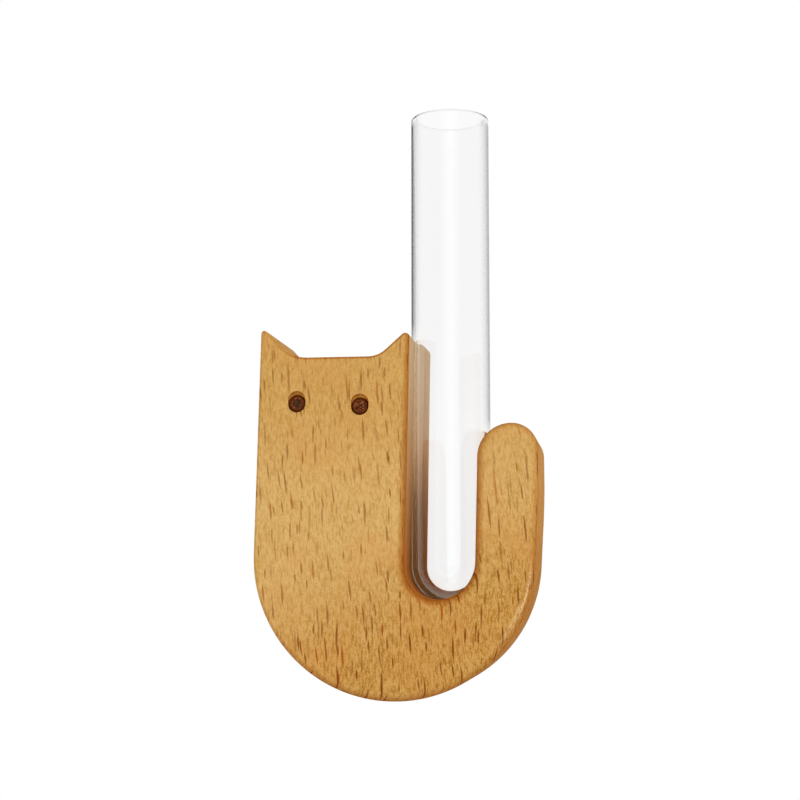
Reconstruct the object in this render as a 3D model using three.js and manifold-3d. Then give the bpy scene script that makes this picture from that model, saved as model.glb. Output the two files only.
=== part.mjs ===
// A cat cut from a beech block, its tail curled up beside it, and a glass test tube that stands in the
// slot between body and tail. Millimetres, +Z up. The front faces -Y and the flat back lies in the plane
// y = 0. The origin is on the back, midway between the two magnets and in line with the middle of the head.
import * as THREE from "three";
import { mergeVertices } from "three/addons/utils/BufferGeometryUtils.js";
import Module from "manifold-3d";

const wasm = await Module();
wasm.setup();

// Glass tube, a standard 16 x 100
const tubeDiameter = 16;
const tubeLength = 100;
const tubeWall = 1.1;
const tubeClearance = 0.3; // between the glass and its bore, all round and underneath

// Block: heights are above the lowest point of the belly, widths are across the front
const blockThickness = 27;
const mountHeight = 33; // from the lowest point up to the origin
const sideLean = 1.4; // degrees that the flank and both slot walls lean to the right going up
const headWidth = 29.85; // at the height of the crown
const crownHeight = 67.15;
const leftEarHeight = 74.1; // to the corner of the ear, before its tip is rounded
const leftEarWidth = 6.2;
const leftEarTip = 0.95; // radius of the tip
const leftEarFoot = 7.5; // radius of the hollow where the ear runs into the crown
const rightEarHeight = 72.8;
const rightEarWidth = 6.2;
const rightEarTip = 0.85;
const rightEarFoot = 5.3;
const slotWidth = 13.7; // square to its walls
const slotFloorHeight = 19.5;
const slotFloorShare = 0.54; // of the floor's width that its right-hand round takes
const tailHeight = 53.7;
const tailWidth = 11.65; // at the rounded end
const tailTipShare = 0.44; // of the end's width that its outer round takes
const tailSwell = 0.1; // how far the outer side swells out past the rounded end
const tailSwellHeight = 40;
const tailSwellRadius = 140;
const tailFootTaper = 3.3; // degrees that the outer side draws in below the swell

// Radius of the front and back edges, which are sanded most round the belly, slot and tail
const crispEdge = 0.6;
const earEdge = 1;
const softEdge = 1.8;

// Eyes: each is a dark plug at the foot of a shallow, upright pocket
const eyeDiameter = 3.3;
const eyeHeight = 57.6;
const eyeSpacing = 12.6;
const eyeOffset = -1.1; // from the middle of the head to the middle between the eyes
const eyeTilt = 0.7; // how much lower the right eye sits
const eyePlugLength = 7;
const eyeRecess = 0.3; // of the plug's face below the front
const eyePocketDepth = 0.7;
const eyePocketLift = 0.7; // how much taller than wide the pocket is
const eyeClearance = 0.12;
const eyeChamfer = 0.15;

// Magnets in the flat back
const magnetDiameter = 12;
const magnetThickness = 3;
const magnetSpacing = 36;
const magnetRecess = 0.2; // of the magnet's face below the back
const magnetClearance = 0.15;
const magnetChamfer = 0.3;

// Facets
const arcStep = 7; // degrees of outline
const edgeSteps = 4;
const tubeSegments = 48;
const ballSteps = 8;
const rimSteps = 4;
const plugSegments = 32;
const closestPoints = 0.01; // points of the outline nearer than this are one
const sharedVertex = 1e-4; // vertices nearer than this are one

const tubeRadius = tubeDiameter / 2;
const slotAcross = slotWidth / Math.cos(THREE.MathUtils.degToRad(sideLean)); // level width of the slot

// x of a leaning upright at some height, given its x at the crown
function leaning(xAtCrown, height) {
  return xAtCrown + (height - crownHeight) * Math.tan(THREE.MathUtils.degToRad(sideLean));
}

const slotLeft = (height) => leaning(headWidth / 2, height);
const slotRight = (height) => slotLeft(height) + slotAcross;

// The tube's axis is in the middle of the slot at the height of the crown. Its ball end is centred half
// a slot's width above the floor.
const axisX = slotLeft(crownHeight) + slotAcross / 2;
const axisY = -blockThickness / 2;
const ballZ = slotFloorHeight + slotWidth / 2 - mountHeight;

// Turn to the left, in radians, on the way from prev through at to next
function turnAt(prev, at, next) {
  const into = Math.atan2(at.z - prev.z, at.x - prev.x);
  const out = Math.atan2(next.z - at.z, next.x - at.x);
  return Math.atan2(Math.sin(out - into), Math.cos(out - into));
}

// Rounds a whole end a-b with two arcs that meet on it. Corner a's arc takes the given share of the
// width, or as much as makes both radii alike.
function roundEnd(prev, a, b, next, share) {
  const width = Math.hypot(b.x - a.x, b.z - a.z);
  const [atA, atB] = [turnAt(prev, a, b), turnAt(a, b, next)].map((turn) => Math.tan(Math.abs(turn) / 2));
  const part = share ?? atA / (atA + atB);
  a.radius = (part * width) / atA;
  b.radius = ((1 - part) * width) / atB;
}

// A corner of the outline. The edge radius is edgeIn where its arc starts and edgeOut where it ends.
function corner(x, z, radius, edgeIn, edgeOut = edgeIn) {
  return { x, z, radius, edgeIn, edgeOut };
}

// The cat seen from the front, anticlockwise from its left ear
function catCorners() {
  const flank = (height) => leaning(-headWidth / 2, height);
  const endX = slotRight(tailHeight) + tailWidth;
  const swellX = endX + tailSwell;
  const footX = swellX - tailSwellHeight * Math.tan(THREE.MathUtils.degToRad(tailFootTaper));

  const leftEar = corner(flank(leftEarHeight), leftEarHeight, leftEarTip, crispEdge);
  const bellyLeft = corner(flank(0), 0, 0, crispEdge, softEdge);
  const bellyRight = corner(footX, 0, 0, softEdge);
  const swell = corner(swellX, tailSwellHeight, tailSwellRadius, softEdge);
  const tailOuter = corner(endX, tailHeight, 0, softEdge);
  const tailInner = corner(slotRight(tailHeight), tailHeight, 0, softEdge);
  const floorRight = corner(slotRight(slotFloorHeight), slotFloorHeight, 0, softEdge);
  const floorLeft = corner(slotLeft(slotFloorHeight), slotFloorHeight, 0, softEdge);
  const rightEar = corner(slotLeft(rightEarHeight), rightEarHeight, rightEarTip, earEdge, crispEdge);
  const crownRight = corner(headWidth / 2 - rightEarWidth, crownHeight, rightEarFoot, crispEdge);
  const crownLeft = corner(leftEarWidth - headWidth / 2, crownHeight, leftEarFoot, crispEdge);

  roundEnd(leftEar, bellyLeft, bellyRight, swell);
  roundEnd(swell, tailOuter, tailInner, floorRight, tailTipShare);
  roundEnd(tailInner, floorRight, floorLeft, rightEar, slotFloorShare);
  const lower = [leftEar, bellyLeft, bellyRight, swell, tailOuter, tailInner];
  return [...lower, floorRight, floorLeft, rightEar, crownRight, crownLeft];
}

// Rounds the corners: points of the outline with their outward normal (nx, nz) and edge radius
function roundedOutline(corners) {
  const at = (i) => corners[(i + corners.length) % corners.length];
  const turns = corners.map((here, i) => turnAt(at(i - 1), here, at(i + 1)));
  const tangents = corners.map((here, i) => here.radius * Math.tan(Math.abs(turns[i]) / 2));
  const share = (i, j) => Math.hypot(at(j).x - at(i).x, at(j).z - at(i).z) / (tangents[i] + tangents[j]);
  const points = [];
  corners.forEach((here, i) => {
    const before = (i + corners.length - 1) % corners.length;
    const after = (i + 1) % corners.length;
    const fit = Math.min(1, share(before, i), share(i, after)); // a short side limits the radius
    const radius = here.radius * fit * Math.sign(turns[i]); // negative where the outline is hollow
    const heading = Math.atan2(here.z - at(i - 1).z, here.x - at(i - 1).x);
    const centreX = here.x - tangents[i] * fit * Math.cos(heading) - radius * Math.sin(heading);
    const centreZ = here.z - tangents[i] * fit * Math.sin(heading) + radius * Math.cos(heading);
    const steps = Math.max(2, Math.ceil(THREE.MathUtils.radToDeg(Math.abs(turns[i])) / arcStep));
    for (let k = 0; k <= steps; k++) {
      const angle = heading + (turns[i] * k) / steps;
      const [nx, nz] = [Math.sin(angle), -Math.cos(angle)];
      const edge = THREE.MathUtils.lerp(here.edgeIn, here.edgeOut, k / steps);
      points.push({ x: centreX + radius * nx, z: centreZ + radius * nz, nx, nz, edge });
    }
  });
  const apart = (a, b) => Math.hypot(a.x - b.x, a.z - b.z) > closestPoints;
  return points.filter((point, i) => apart(point, points.at(i - 1)));
}

// Carries the outline from the front face to the back. Near each face the rings are drawn in by
// edge (1 - cos a) at a depth of edge (1 - sin a), so that the edge is a quarter round.
function roundedBlock(outline, thickness) {
  const front = Array.from({ length: edgeSteps + 1 }, (_, k) => {
    const angle = (Math.PI / 2) * (1 - k / edgeSteps);
    return { inset: 1 - Math.cos(angle), depth: 1 - Math.sin(angle), face: -thickness, inwards: 1 };
  });
  const back = front.map((ring) => ({ ...ring, face: 0, inwards: -1 })).reverse();
  const rings = [...front, ...back];
  const positions = rings.flatMap(({ inset, depth, face, inwards }) =>
    outline.flatMap(({ x, z, nx, nz, edge }) => [
      x - nx * edge * inset,
      face + inwards * edge * depth,
      z - nz * edge * inset - mountHeight,
    ]),
  );
  const count = outline.length;
  const faces = [];
  for (let start = 0; start < (rings.length - 1) * count; start += count) {
    for (let i = 0; i < count; i++) {
      const [a, b] = [start + i, start + ((i + 1) % count)];
      faces.push(a, b + count, b, a, a + count, b + count);
    }
  }
  const rim = outline.map(({ x, z, nx, nz, edge }) => new THREE.Vector2(x - nx * edge, z - nz * edge));
  const last = (rings.length - 1) * count;
  for (const [a, b, c] of THREE.ShapeUtils.triangulateShape(rim, [])) {
    faces.push(a, b, c, last + a, last + c, last + b);
  }
  const geometry = new THREE.BufferGeometry();
  geometry.setAttribute("position", new THREE.Float32BufferAttribute(positions, 3));
  geometry.setIndex(faces);
  return geometry;
}

// A piece turned about +Z, from [radius, height] pairs that run from the bottom up the outside
function turned(profile, segments) {
  const points = profile.map(([radius, height]) => new THREE.Vector2(Math.max(radius, 0), height));
  return new THREE.LatheGeometry(points, segments).rotateX(Math.PI / 2);
}

// [radius, height] pairs on an arc, with angles in degrees up from the outward direction
function arc(centreRadius, centreHeight, radius, from, to, steps) {
  return Array.from({ length: steps + 1 }, (_, k) => {
    const angle = THREE.MathUtils.degToRad(THREE.MathUtils.lerp(from, to, k / steps));
    return [centreRadius + radius * Math.cos(angle), centreHeight + radius * Math.sin(angle)];
  });
}

// A disc from z = 0 up, its edges chamfered
function disc(diameter, thickness, chamfer) {
  const radius = diameter / 2;
  const foot = [[0, 0], [radius - chamfer, 0], [radius, chamfer]];
  const top = [[radius, thickness - chamfer], [radius - chamfer, thickness], [0, thickness]];
  return turned([...foot, ...top], plugSegments);
}

function solid(geometry) {
  const bare = geometry.clone();
  bare.deleteAttribute("normal");
  bare.deleteAttribute("uv");
  const merged = mergeVertices(bare, sharedVertex);
  const triVerts = new Uint32Array(merged.index.array);
  const vertProperties = merged.attributes.position.array;
  return new wasm.Manifold(new wasm.Mesh({ numProp: 3, vertProperties, triVerts }));
}

// The bore that takes the tube: open above the ears, with a ball end in the floor of the slot
function tubeBore() {
  const radius = tubeRadius + tubeClearance;
  const top = Math.max(leftEarHeight, rightEarHeight, tailHeight) - mountHeight - ballZ + tubeRadius;
  const profile = [...arc(0, 0, radius, -90, 0, ballSteps), [radius, top], [0, top]];
  return solid(turned(profile, tubeSegments).translate(axisX, axisY, ballZ));
}

// An eye's hole and the shallow upright pocket that it is drilled in, cut from the front
function eyeHole({ x, z }) {
  const radius = eyeDiameter / 2 + eyeClearance;
  const depth = eyeRecess + eyePlugLength + eyeClearance;
  const hole = new THREE.CylinderGeometry(radius, radius, 2 * depth, plugSegments);
  const upright = new THREE.Shape();
  upright.absarc(0, eyePocketLift, radius, 0, Math.PI);
  upright.absarc(0, 0, radius, Math.PI, 2 * Math.PI);
  const pocket = new THREE.ExtrudeGeometry(upright, {
    depth: 2 * eyePocketDepth,
    curveSegments: plugSegments / 2,
    bevelEnabled: false,
  });
  pocket.rotateX(Math.PI / 2).translate(x, eyePocketDepth - blockThickness, z);
  return solid(hole.translate(x, -blockThickness, z)).add(solid(pocket));
}

// A magnet's pocket, cut from the back
function magnetPocket(z) {
  const radius = magnetDiameter / 2 + magnetClearance;
  const depth = magnetRecess + magnetThickness + magnetClearance;
  return solid(new THREE.CylinderGeometry(radius, radius, 2 * depth, plugSegments).translate(0, 0, z));
}

const eyes = [
  { name: "left_eye", x: eyeOffset - eyeSpacing / 2, z: eyeHeight + eyeTilt / 2 - mountHeight },
  { name: "right_eye", x: eyeOffset + eyeSpacing / 2, z: eyeHeight - eyeTilt / 2 - mountHeight },
];
const magnets = [
  { name: "upper_magnet", z: magnetSpacing / 2 },
  { name: "lower_magnet", z: -magnetSpacing / 2 },
];

function woodenBody() {
  const cuts = [tubeBore(), ...eyes.map(eyeHole), ...magnets.map(({ z }) => magnetPocket(z))];
  const block = solid(roundedBlock(roundedOutline(catCorners()), blockThickness));
  const mesh = cuts.reduce((wood, cut) => wood.subtract(cut), block).getMesh();
  const geometry = new THREE.BufferGeometry();
  geometry.setAttribute("position", new THREE.BufferAttribute(mesh.vertProperties, 3));
  geometry.setIndex(new THREE.BufferAttribute(mesh.triVerts, 1));
  geometry.computeVertexNormals();
  const beech = new THREE.MeshStandardMaterial({ color: 0xd0a05c, roughness: 0.55 });
  return named("wooden_body", new THREE.Mesh(geometry, beech));
}

// A test tube: ball end, straight wall, and a rim melted to a half round
function glassTube() {
  const inner = tubeRadius - tubeWall;
  const rim = tubeWall / 2;
  const profile = [
    ...arc(0, 0, tubeRadius, -90, 0, ballSteps),
    ...arc(tubeRadius - rim, tubeLength - tubeRadius - rim, rim, 0, 180, rimSteps),
    ...arc(0, 0, inner, 0, -90, ballSteps),
  ];
  const glass = new THREE.MeshStandardMaterial({
    color: 0xf1f4f4,
    roughness: 0.05,
    transparent: true,
    opacity: 0.35,
  });
  const tube = named("glass_tube", new THREE.Mesh(turned(profile, tubeSegments), glass));
  tube.position.set(axisX, axisY, ballZ);
  return tube;
}

function eyePlug({ name, x, z }) {
  const walnut = new THREE.MeshStandardMaterial({ color: 0x3f1e10, roughness: 0.6 });
  const plug = named(name, new THREE.Mesh(disc(eyeDiameter, eyePlugLength, eyeChamfer), walnut));
  plug.position.set(x, eyeRecess + eyePlugLength - blockThickness, z);
  plug.rotation.x = Math.PI / 2;
  return plug;
}

function discMagnet({ name, z }) {
  const nickel = new THREE.MeshStandardMaterial({ color: 0xc9c8c4, roughness: 0.25, metalness: 1 });
  const magnet = named(name, new THREE.Mesh(disc(magnetDiameter, magnetThickness, magnetChamfer), nickel));
  magnet.position.set(0, -(magnetRecess + magnetThickness), z);
  magnet.rotation.x = -Math.PI / 2;
  return magnet;
}

function named(name, object) {
  object.name = name;
  return object;
}

const holder = named("holder", new THREE.Group());
holder.add(woodenBody(), ...eyes.map(eyePlug), ...magnets.map(discMagnet));
const vase = named("cat_vase", new THREE.Group());
vase.add(holder, glassTube());

export default vase;
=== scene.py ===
import math

import bpy
import numpy as np
from mathutils import Euler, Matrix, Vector


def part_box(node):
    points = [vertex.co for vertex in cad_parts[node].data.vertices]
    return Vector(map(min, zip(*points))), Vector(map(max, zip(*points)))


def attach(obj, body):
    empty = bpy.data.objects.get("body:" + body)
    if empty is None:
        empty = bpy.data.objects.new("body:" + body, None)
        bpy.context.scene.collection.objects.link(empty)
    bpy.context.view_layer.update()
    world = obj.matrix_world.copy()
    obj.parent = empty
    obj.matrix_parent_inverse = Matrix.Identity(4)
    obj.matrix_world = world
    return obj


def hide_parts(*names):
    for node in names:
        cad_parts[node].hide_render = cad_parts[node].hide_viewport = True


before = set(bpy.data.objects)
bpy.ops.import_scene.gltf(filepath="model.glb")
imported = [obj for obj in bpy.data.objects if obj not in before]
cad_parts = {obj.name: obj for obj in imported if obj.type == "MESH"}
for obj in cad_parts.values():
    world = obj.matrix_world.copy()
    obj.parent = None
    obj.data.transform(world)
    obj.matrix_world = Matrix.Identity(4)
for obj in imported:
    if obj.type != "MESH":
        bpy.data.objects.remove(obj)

# A beech cat with a glass test tube between body and tail. Sizes are in millimetres unless noted otherwise.
mm = 0.001
scene = bpy.context.scene
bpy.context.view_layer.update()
blockLow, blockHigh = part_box("wooden_body")
print("frame loaded:", len(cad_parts), "nodes")


# The camera's place, its turn, and its lens in pixels of the square picture
photoView = {
    "position": (56.23, -335.10, -11.24),
    "pitchUp": 6.70,  # degrees
    "yawLeft": 7.95,  # degrees
    "focalPixels": 1600,
    "framePixels": 800,
    "sensorWidth": 36,
    "clip": (0.01, 50),  # metres
}


def makeCamera(view):
    data = bpy.data.cameras.new("photoCamera")
    data.sensor_width = view["sensorWidth"]
    data.lens = view["sensorWidth"] * view["focalPixels"] / view["framePixels"]
    data.clip_start, data.clip_end = view["clip"]
    camera = bpy.data.objects.new("photoCamera", data)
    camera.location = Vector(view["position"]) * mm
    camera.rotation_euler = Euler((math.radians(90 + view["pitchUp"]), 0, math.radians(view["yawLeft"])))
    scene.collection.objects.link(camera)
    scene.camera = camera


makeCamera(photoView)
print("camera placed")


# A new object at the origin, from points (an n x 3 array in millimetres) and faces
def makePiece(name, points, faces):
    mesh = bpy.data.meshes.new(name)
    mesh.from_pydata((np.asarray(points) * mm).tolist(), [], faces)
    mesh.update()
    piece = bpy.data.objects.new(name, mesh)
    scene.collection.objects.link(piece)
    return piece


# A mesh's points in millimetres, as an n x 3 array
def pointsOf(mesh):
    places = np.zeros(len(mesh.vertices) * 3, np.float32)
    mesh.vertices.foreach_get("co", places)
    return places.reshape(-1, 3) / mm


# Keeps named numbers with each point or face of a mesh, for its finish
def addMarks(mesh, marks, domain="POINT"):
    for name, values in marks.items():
        mark = mesh.attributes.new(name, "FLOAT", domain)
        mark.data.foreach_set("value", values.astype(np.float32))


# Quads between neighbouring closed rings of a grid of points. Their outside is ring direction x next ring.
def ringQuads(rings, count):
    start = (np.arange(rings - 1) * count)[:, None]
    here = np.arange(count)[None, :]
    after = (here + 1) % count
    nextStart = start + count
    quads = [start + here, start + after, nextStart + after, nextStart + here]
    return np.stack(quads, -1).reshape(-1, 4)


# Rings of points from front to back, joined by quads and closed by a cap at either end
def ringBlock(name, points, rings):
    count = len(points) // rings
    sides = ringQuads(rings, count)[:, ::-1].tolist()
    front, back = list(range(count)), list(range(len(points) - count, len(points)))
    return makePiece(name, points, sides + [front, back[::-1]])


# [radius, height] pairs on an arc: centre + radius (cos a, sin a), with a in degrees from first to last
def arcProfile(centreRadius, centreHeight, radius, first, last, steps):
    angle = np.radians(np.linspace(first, last, steps + 1))
    return np.stack([centreRadius + radius * np.cos(angle), centreHeight + radius * np.sin(angle)], -1)


# A turned surface: the point at turn t and profile place k is
# centre + radius k (cos t across + sin t aside) + height k along.
# The profile's first and last pairs lie on the axis and become the two poles.
def turnedSurface(name, profile, turns, centre, along):
    along = np.array(along, float)
    across = np.array([1.0, 0.0, 0.0])
    aside = np.cross(along, across)
    turn = np.linspace(0, 2 * np.pi, turns, endpoint=False)
    circle = np.cos(turn)[:, None] * across + np.sin(turn)[:, None] * aside
    rings = profile[1:-1]
    skin = rings[:, 0, None, None] * circle + rings[:, 1, None, None] * along
    poles = profile[[0, -1], 1, None] * along
    points = np.concatenate([skin.reshape(-1, 3), poles]) + np.array(centre)
    here = np.arange(turns)
    after = (here + 1) % turns
    last = (len(rings) - 1) * turns
    footPole, topPole = len(points) - 2, len(points) - 1
    foot = np.stack([np.full(turns, footPole), after, here], -1)
    top = np.stack([np.full(turns, topPole), last + here, last + after], -1)
    faces = ringQuads(len(rings), turns).tolist() + foot.tolist() + top.tolist()
    return makePiece(name, points, faces)


# Smooth faces, with every edge sharper than the given angle left crisp
def shadeSmooth(mesh, crispAngle):
    mesh.shade_smooth()
    mesh.set_sharp_from_angle(angle=math.radians(crispAngle))


# The cat's outline. Heights are above the lowest point of the belly, widths are across the front.
catBlock = {
    "thickness": 27,
    "mountHeight": 33,
    "sideLean": 1.4,  # degrees
    "headWidth": 29.85,
    "crownHeight": 67.15,
    "leftEar": {"height": 73.66, "width": 6.2, "tip": 0.65, "foot": 7.5},
    "rightEar": {"height": 72.8, "width": 6.2, "tip": 0.85, "foot": 5.3},
    "slot": {"width": 13.7, "floorHeight": 19.5, "floorShare": 0.54},
    "tail": {"height": 53.7, "width": 11.65, "tipShare": 0.44, "swell": 0.1, "swellHeight": 40},
    "tailSwellRadius": 140,
    "tailFootTaper": 3.3,  # degrees
    "crispEdge": 0.6,
    "earEdge": 1,
    "softEdge": 1.8,
    "arcStep": 1.5,  # degrees
    "longestStep": 2.5,
    "shortestStep": 0.01,
    "edgeSteps": 12,
    "sideRows": (0.02, 0.35, 0.65, 0.98),  # rows of points across the side, as shares of its depth
    "slotReach": (13, 30),  # x from the slot's left wall to where the tail's round end starts
    "slotBelow": 1,  # how far below the slot's floor its tone still reaches
    "slotFade": 0.5,  # share of the rounded edge over which the slot's tone comes in
    "crispAngle": 25,  # degrees
    "flatNormal": 0.9999,  # share along y of the normals of the flat front and back
}


# The place at some height on an upright that leans as the sides do, from its x at the crown
def leaning(block, crownX, height):
    return crownX + (height - block["crownHeight"]) * math.tan(math.radians(block["sideLean"])), height


# Turn to the left, in radians, on the way through three points
def turnAt(before, here, after):
    into = math.atan2(here[1] - before[1], here[0] - before[0])
    out = math.atan2(after[1] - here[1], after[0] - here[0])
    return math.remainder(out - into, 2 * math.pi)


# Radii of two arcs that round the whole end from corner a to corner b and meet on it. The first arc takes
# the given share of the end's width, or as much as makes the radii alike.
def endRadii(before, a, b, after, share=None):
    width = math.dist(a, b)
    tanA = math.tan(abs(turnAt(before, a, b)) / 2)
    tanB = math.tan(abs(turnAt(a, b, after)) / 2)
    share = tanA / (tanA + tanB) if share is None else share
    return share * width / tanA, (1 - share) * width / tanB


# Corners of the cat seen from the front, anticlockwise from its left ear: place, radius, and the radius of
# the front and back edges where the corner's arc starts and ends
def catCorners(block):
    half = block["headWidth"] / 2
    left, right, slot, tail = block["leftEar"], block["rightEar"], block["slot"], block["tail"]
    slotRight = half + slot["width"] / math.cos(math.radians(block["sideLean"]))

    leftEar = leaning(block, -half, left["height"])
    bellyLeft = leaning(block, -half, 0)
    tailInner = leaning(block, slotRight, tail["height"])
    tailOuter = (tailInner[0] + tail["width"], tail["height"])
    swell = (tailOuter[0] + tail["swell"], tail["swellHeight"])
    bellyRight = (swell[0] - tail["swellHeight"] * math.tan(math.radians(block["tailFootTaper"])), 0)
    floorRight = leaning(block, slotRight, slot["floorHeight"])
    floorLeft = leaning(block, half, slot["floorHeight"])
    rightEar = leaning(block, half, right["height"])
    crownRight = (half - right["width"], block["crownHeight"])
    crownLeft = (left["width"] - half, block["crownHeight"])

    belly = endRadii(leftEar, bellyLeft, bellyRight, swell)
    tip = endRadii(swell, tailOuter, tailInner, floorRight, tail["tipShare"])
    floor = endRadii(tailInner, floorRight, floorLeft, rightEar, slot["floorShare"])
    crisp, ear, soft = block["crispEdge"], block["earEdge"], block["softEdge"]
    return [
        (leftEar, left["tip"], crisp, crisp),
        (bellyLeft, belly[0], crisp, soft),
        (bellyRight, belly[1], soft, soft),
        (swell, block["tailSwellRadius"], soft, soft),
        (tailOuter, tip[0], soft, soft),
        (tailInner, tip[1], soft, soft),
        (floorRight, floor[0], soft, soft),
        (floorLeft, floor[1], soft, soft),
        (rightEar, right["tip"], ear, crisp),
        (crownRight, right["foot"], crisp, crisp),
        (crownLeft, left["foot"], crisp, crisp),
    ]


# Rounds the corners with arcs: centre + radius (sin a, -cos a), a running through the corner's turn. Radii
# too large for the runs between the corners shrink until they fit. Gives the outline's points, outward
# normals and edge radii, with long straight runs split evenly. No point lies outside the CAD block's sides.
def roundedOutline(corners, block):
    places = [np.array(place, float) for place, *rest in corners]
    size = len(corners)
    turns = [turnAt(places[i - 1], places[i], places[(i + 1) % size]) for i in range(size)]
    tangents = [corners[i][1] * math.tan(abs(turns[i]) / 2) for i in range(size)]

    def share(i, j):
        return math.dist(places[i], places[j]) / (tangents[i] + tangents[j])

    arcs = []
    for i, (place, cornerRadius, edgeIn, edgeOut) in enumerate(corners):
        fit = min(1, share(i - 1, i), share(i, (i + 1) % size))
        radius = cornerRadius * fit * math.copysign(1, turns[i])
        heading = math.atan2(*(places[i] - places[i - 1])[::-1])
        along = np.array([math.cos(heading), math.sin(heading)])
        centre = places[i] - tangents[i] * fit * along + radius * np.array([-along[1], along[0]])
        steps = max(2, math.ceil(math.degrees(abs(turns[i])) / block["arcStep"]))
        angle = heading + np.linspace(0, turns[i], steps + 1)
        normal = np.stack([np.sin(angle), -np.cos(angle)], -1)
        edge = np.linspace(edgeIn, edgeOut, steps + 1)
        arcs.append(np.column_stack([centre + radius * normal, normal, edge]))
    runs = []
    for i, arc in enumerate(arcs):
        nextStart = arcs[(i + 1) % size][0]
        pieces = max(1, math.ceil(math.dist(arc[-1][:2], nextStart[:2]) / block["longestStep"]))
        between = np.linspace(0, 1, pieces, endpoint=False)[1:, None]
        runs += [arc, arc[-1] + between * (nextStart - arc[-1])]
    outline = np.concatenate(runs)
    step = np.linalg.norm(outline[:, :2] - np.roll(outline[:, :2], 1, axis=0), axis=1)
    outline = outline[step > block["shortestStep"]]
    outline[:, 0] = np.clip(outline[:, 0], blockLow.x / mm, blockHigh.x / mm)
    return outline[:, :2], outline[:, 2:4], outline[:, 4]


# The block's skin on a grid of outline place and ring. Near the front and back a ring is drawn in by
# edge (1 - cos a) at a depth of edge (1 - sin a); between them straight rows cross the side.
def roundedBlock(name, block, outline, normal, edge):
    angle = np.radians(np.linspace(90, 0, block["edgeSteps"] + 1))
    inset, depth = 1 - np.cos(angle), 1 - np.sin(angle)
    side = np.array(block["sideRows"])[:, None]
    front = depth[:, None] * edge
    back = block["thickness"] - front[::-1]
    rows = np.concatenate([front, edge + side * (block["thickness"] - 2 * edge), back])
    insets = np.concatenate([inset, np.zeros(len(side)), inset[::-1]])[:, None] * edge
    flat = outline[None] - insets[..., None] * normal[None]
    y = rows - block["thickness"]
    points = np.stack([flat[..., 0], y, flat[..., 1] - block["mountHeight"]], -1).reshape(-1, 3)
    return ringBlock(name, points, len(rows))


# The hollows that are cut into the block for the tube, the eyes and the magnets
eyes = ("left_eye", "right_eye")
magnets = ("upper_magnet", "lower_magnet")
hollows = {
    "tubeClearance": 0.3,
    "eyeClearance": 0.12,
    "eyePocketDepth": 0.7,
    "eyePocketLift": 0.7,
    "magnetClearance": 0.15,
    "boreTurns": 192,
    "ballSteps": 32,
    "holeTurns": 64,
    "overshoot": 2,  # how far a cutter stands out of the wood
    "boreTolerance": 0.02,  # how far off the bore a point of its wall may lie
    "eyeMarkMargin": 0.1,  # how far round a pocket its mark reaches
    "eyeMarkDepth": 0.05,  # how far below the front it starts
}


# Middle and size of a CAD node, in millimetres
def nodeBox(node):
    low, high = (np.array(corner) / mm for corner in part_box(node))
    return (low + high) / 2, high - low


# A cutter with straight sides from front to back. Its two half-round ends lie a lift apart.
def holeCutter(name, middle, radius, front, back, turns, lift=0):
    angle = np.linspace(0, 2 * np.pi, turns, endpoint=False)
    rise = np.where(np.sin(angle) > 1e-9, lift, 0)
    x, z = middle[0] + radius * np.cos(angle), middle[2] + rise + radius * np.sin(angle)
    y = np.repeat([front, back], turns)
    return ringBlock(name, np.stack([np.tile(x, 2), y, np.tile(z, 2)], -1), 2)


# Middle of the tube, radius of its bore, and height of the middle of its ball end
def boreShape(hollow):
    middle, size = nodeBox("glass_tube")
    return middle, size[0] / 2 + hollow["tubeClearance"], middle[2] - size[2] / 2 + size[0] / 2


def makeCutters(hollow):
    over = hollow["overshoot"]
    middle, radius, ballHeight = boreShape(hollow)
    topHeight = blockHigh.z / mm + over - ballHeight
    ball = arcProfile(0, 0, radius, -90, 0, hollow["ballSteps"])
    bore = np.concatenate([ball, [[radius, topHeight], [0, topHeight]]])
    centre = (middle[0], middle[1], ballHeight)
    cutters = [turnedSurface("boreCutter", bore, hollow["boreTurns"], centre, (0, 0, 1))]
    turns, lift = hollow["holeTurns"], hollow["eyePocketLift"]
    front = blockLow.y / mm - over
    for eye in eyes:
        middle, size = nodeBox(eye)
        radius = size[0] / 2 + hollow["eyeClearance"]
        holeBack = middle[1] + size[1] / 2 + hollow["eyeClearance"]
        pocketBack = blockLow.y / mm + hollow["eyePocketDepth"]
        cutters.append(holeCutter(eye + "Hole", middle, radius, front, holeBack, turns))
        cutters.append(holeCutter(eye + "Pocket", middle, radius, front, pocketBack, turns, lift))
    for magnet in magnets:
        middle, size = nodeBox(magnet)
        radius = size[0] / 2 + hollow["magnetClearance"]
        floor = middle[1] - size[1] / 2 - hollow["magnetClearance"]
        cutters.append(holeCutter(magnet + "Hole", middle, radius, floor, blockHigh.y / mm + over, turns))
    return cutters


def cutHollows(piece, cutters):
    for cutter in cutters:
        cut = piece.modifiers.new(cutter.name, "BOOLEAN")
        cut.operation = "DIFFERENCE"
        cut.solver = "EXACT"
        cut.object = cutter
    graph = bpy.context.evaluated_depsgraph_get()
    made = bpy.data.meshes.new_from_object(piece.evaluated_get(graph))
    piece.modifiers.clear()
    piece.data = made
    made.name = piece.name
    for cutter in cutters:
        bpy.data.objects.remove(cutter)


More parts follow.
